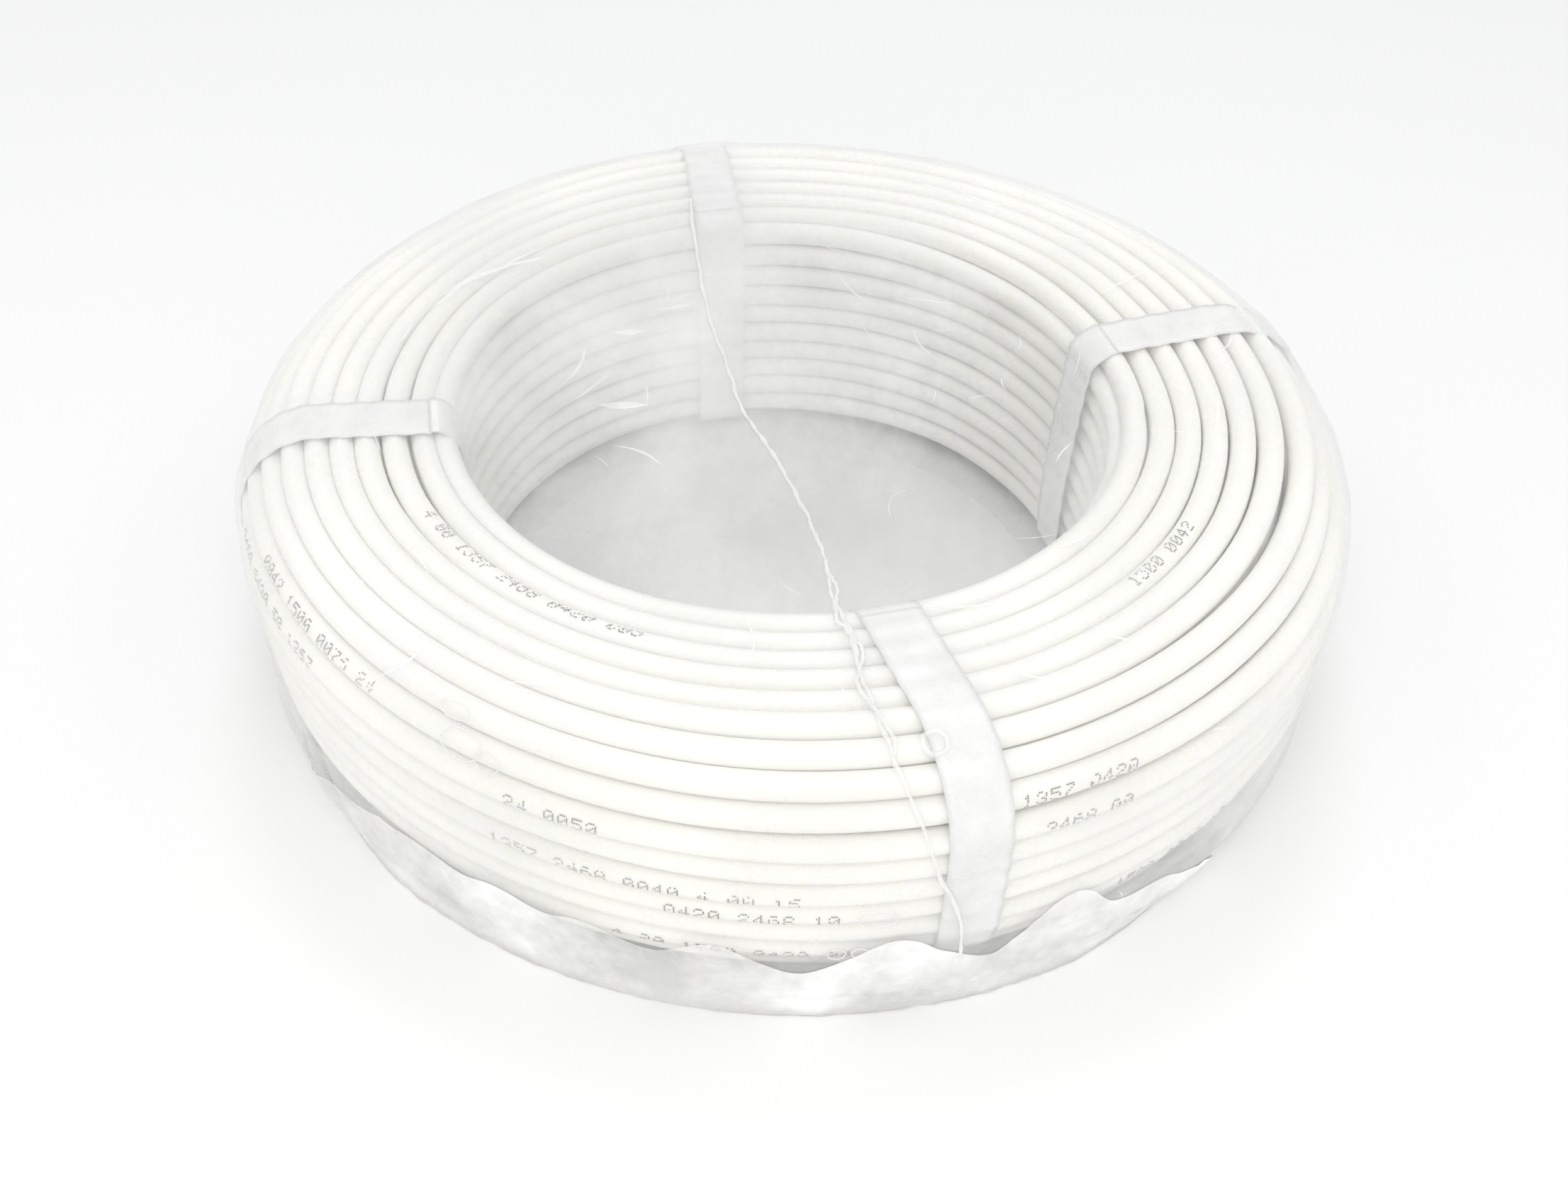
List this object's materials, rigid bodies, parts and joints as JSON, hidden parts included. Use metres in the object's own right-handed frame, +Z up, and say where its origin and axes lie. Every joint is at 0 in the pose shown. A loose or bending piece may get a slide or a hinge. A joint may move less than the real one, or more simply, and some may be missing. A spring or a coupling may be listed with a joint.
{
  "type": "silicone wire coil",
  "caption": "Flat coil of white silicone-insulated wire, tied by thin plastic straps and sealed in clear shrink film that spans its bore.",
  "frame": {"origin": "on the coil's axis, at the level of the film's flat underside, which rests on the floor", "axes": "+Z up along the coil's axis, -Y towards the viewer, +X to the viewer's right"},
  "size_m": [0.1888, 0.1888, 0.0509],
  "materials": {
    "silicone": "satin",
    "strap_plastic": "frosted",
    "film_plastic": "gloss"
  },
  "bodies": {
    "root": {"wire_coil": "silicone", "strap_front": "strap_plastic", "strap_right": "strap_plastic", "strap_back": "strap_plastic", "strap_left": "strap_plastic", "shrink_film": "film_plastic"}
  },
  "joints": []
}
